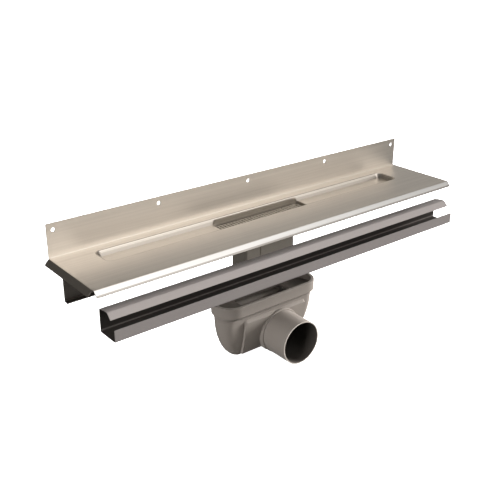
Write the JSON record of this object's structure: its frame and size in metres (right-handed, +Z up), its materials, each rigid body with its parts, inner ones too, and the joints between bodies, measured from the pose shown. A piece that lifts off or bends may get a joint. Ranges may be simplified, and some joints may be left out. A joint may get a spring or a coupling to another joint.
{
  "type": "linear shower drain",
  "caption": "Wall-side linear shower drain, shown taken apart: folded stainless tray with outlet, dark slot profile and grey plastic trap with a round side outlet.",
  "frame": {"origin": "middle of the row of wall fixing holes, on the flange's face that meets the wall", "axes": "+X along the wall to the right as seen from the room, +Y into the wall, +Z up"},
  "size_m": [0.7162, 0.1515, 0.301],
  "materials": {
    "stainless_steel": "satin",
    "profile_coating": "satin",
    "grey_plastic": "matte",
    "white_plastic": "semi-gloss",
    "rubber": "matte"
  },
  "bodies": {
    "root": {"gutter_tray": "stainless_steel", "outlet_spigot": "stainless_steel", "mounting_foot_left": "stainless_steel", "mounting_foot_right": "stainless_steel", "hair_sieve": "stainless_steel", "slot_profile": "profile_coating", "trap_body": "grey_plastic", "mouth_seal": "rubber", "dip_tube": "white_plastic", "dip_tube_ring": "rubber", "seal_cup": "white_plastic"}
  },
  "joints": []
}
